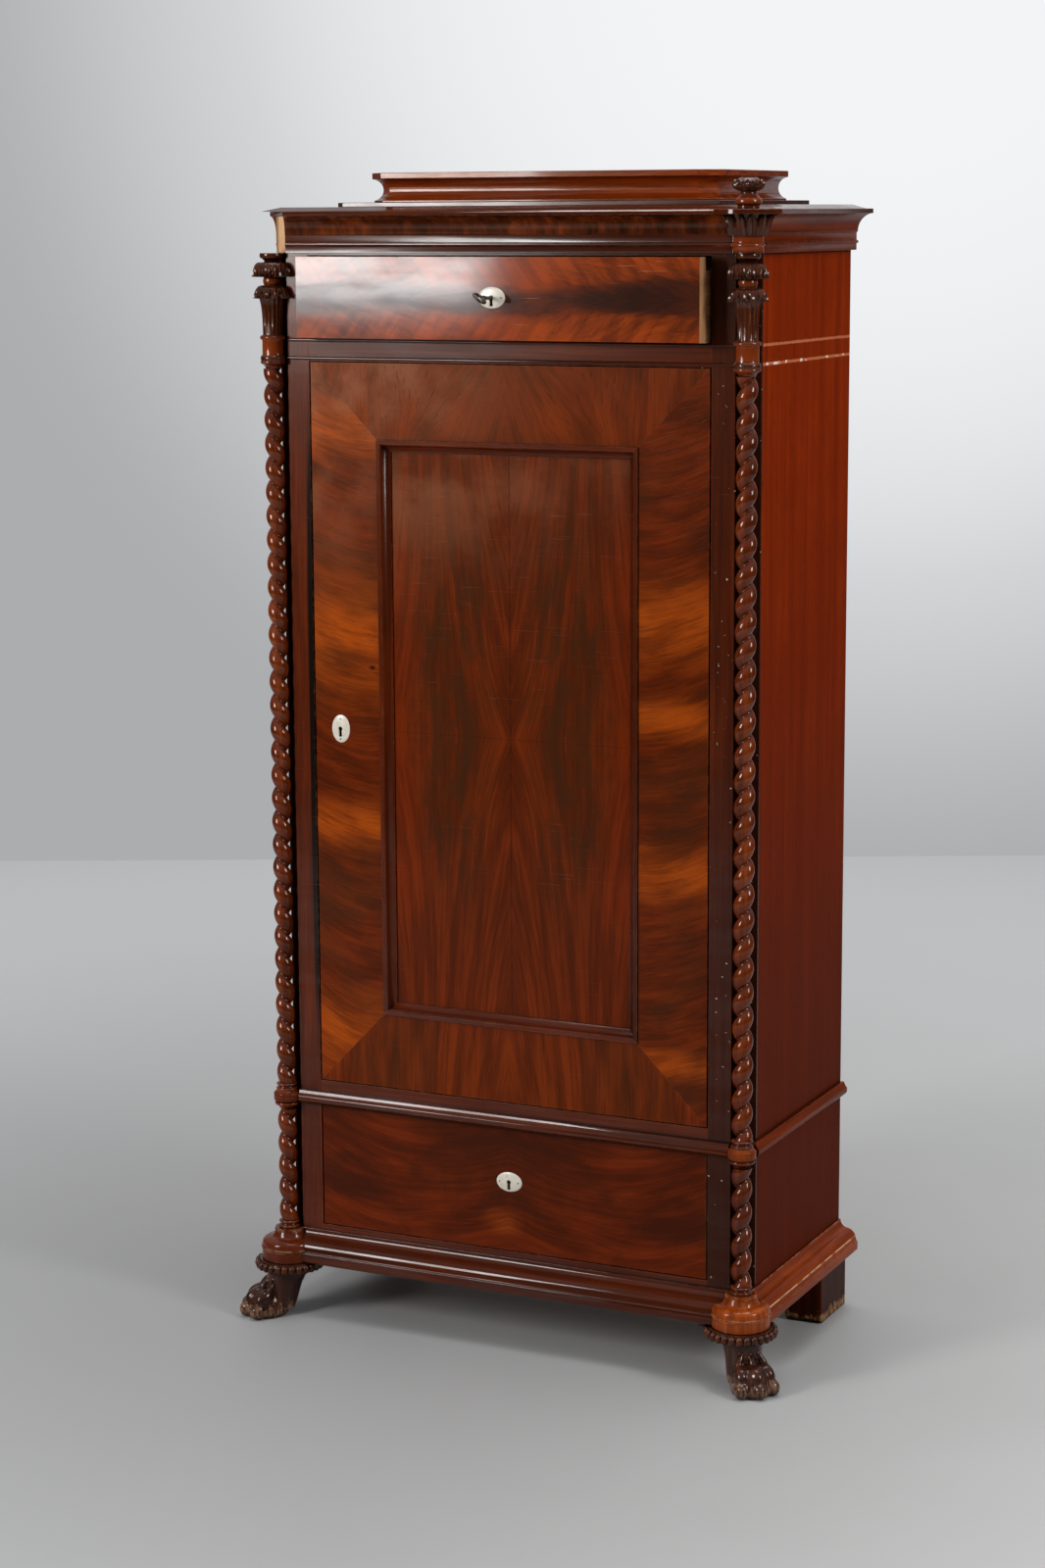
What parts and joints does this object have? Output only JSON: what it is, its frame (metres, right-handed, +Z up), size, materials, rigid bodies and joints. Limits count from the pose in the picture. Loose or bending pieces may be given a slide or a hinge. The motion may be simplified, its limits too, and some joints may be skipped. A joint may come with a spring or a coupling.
{
  "type": "pedestal cabinet",
  "caption": "Tall narrow mahogany pedestal cabinet: panelled door between drawers, barley-twist corner columns, canted corners, cornice with low gallery, carved paw feet.",
  "frame": {"origin": "on the floor, in the middle of the part's outer box", "axes": "+Z up, +X to the right seen from the front, +Y to the back; the doors and drawers face -Y"},
  "size_m": [0.8286, 0.4384, 1.612],
  "materials": {
    "mahogany": "french polished",
    "mahogany_veneer": "french polished",
    "carved_mahogany": "waxed",
    "inner_wood": "bare",
    "bone": "polished",
    "iron": "worn"
  },
  "bodies": {
    "case": {"back_boards": "inner_wood", "bottom_rail": "mahogany_veneer", "carcass_bottom": "inner_wood", "carcass_top": "inner_wood", "cornice_front": "mahogany", "cornice_returns": "mahogany", "cornice_top_board": "mahogany", "cupboard_floor": "inner_wood", "drawer_dust_board": "inner_wood", "drawer_guides": "inner_wood", "drawer_rail": "mahogany_veneer", "frieze_rail": "mahogany_veneer", "gallery_lid": "inner_wood", "gallery_moulding": "mahogany", "gallery_plate": "mahogany", "hinge_pins": "iron", "left_capital": "carved_mahogany", "left_lower_twist": "mahogany", "left_side_panel": "mahogany", "left_stile": "mahogany_veneer", "left_upper_twist": "mahogany", "paw_feet": "carved_mahogany", "plinth_blocks": "mahogany", "plinth_front": "mahogany", "plinth_returns": "mahogany", "rail_beads": "mahogany", "rear_feet": "inner_wood", "right_capital": "carved_mahogany", "right_cornice_block": "carved_mahogany", "right_finial": "carved_mahogany", "right_lower_twist": "mahogany", "right_side_panel": "mahogany", "right_stile": "mahogany_veneer", "right_upper_twist": "mahogany", "shelf_battens": "inner_wood", "shelves": "inner_wood", "waist_discs": "mahogany", "waist_moulding_front": "mahogany", "waist_moulding_returns": "mahogany", "waist_rail": "mahogany_veneer"},
    "door": {"door_escutcheon": "bone", "door_frame": "mahogany_veneer", "door_hinge_plates": "iron", "door_lock": "iron", "door_panel": "mahogany_veneer", "panel_moulding": "mahogany"},
    "top_drawer": {"top_drawer_bottom": "inner_wood", "top_drawer_escutcheon": "bone", "top_drawer_front": "mahogany_veneer", "top_drawer_lock": "iron", "top_drawer_sides": "inner_wood"},
    "bottom_drawer": {"bottom_drawer_bottom": "inner_wood", "bottom_drawer_escutcheon": "bone", "bottom_drawer_front": "mahogany_veneer", "bottom_drawer_lock": "iron", "bottom_drawer_sides": "inner_wood"},
    "key": {"top_drawer_key": "iron"},
    "top_bolt": {"top_drawer_bolt": "iron"},
    "bottom_bolt": {"bottom_drawer_bolt": "iron"},
    "door_bolt": {"door_bolt": "iron"}
  },
  "joints": [
    {"name": "top_drawer_slide", "type": "slide", "parent": "case", "child": "top_drawer", "axis": [0, -1, 0], "range_m": [-0.0364, 0.21]},
    {"name": "bottom_drawer_slide", "type": "slide", "parent": "case", "child": "bottom_drawer", "axis": [0, -1, 0], "range_m": [0, 0.25]},
    {"name": "door_hinge", "type": "hinge", "parent": "case", "child": "door", "pos_m": [0.282, -0.1308, 0.349], "axis": [0, 0, 1], "range_deg": [0, 115]},
    {"name": "key_turn", "type": "hinge", "parent": "top_drawer", "child": "key", "pos_m": [0, -0.1732, 1.4478], "axis": [0, 1, 0], "range_deg": [0, 360]},
    {"name": "top_bolt_slide", "type": "slide", "parent": "top_drawer", "child": "top_bolt", "axis": [0, 0, 1], "range_m": [0, 0.008]},
    {"name": "bottom_bolt_slide", "type": "slide", "parent": "bottom_drawer", "child": "bottom_bolt", "axis": [0, 0, 1], "range_m": [0, 0.008]},
    {"name": "door_bolt_slide", "type": "slide", "parent": "door", "child": "door_bolt", "axis": [-1, 0, 0], "range_m": [0, 0.008]}
  ],
  "couplings": [
    {"joint": "key_turn", "follows": "top_bolt_slide", "rad_per_m": 785}
  ]
}
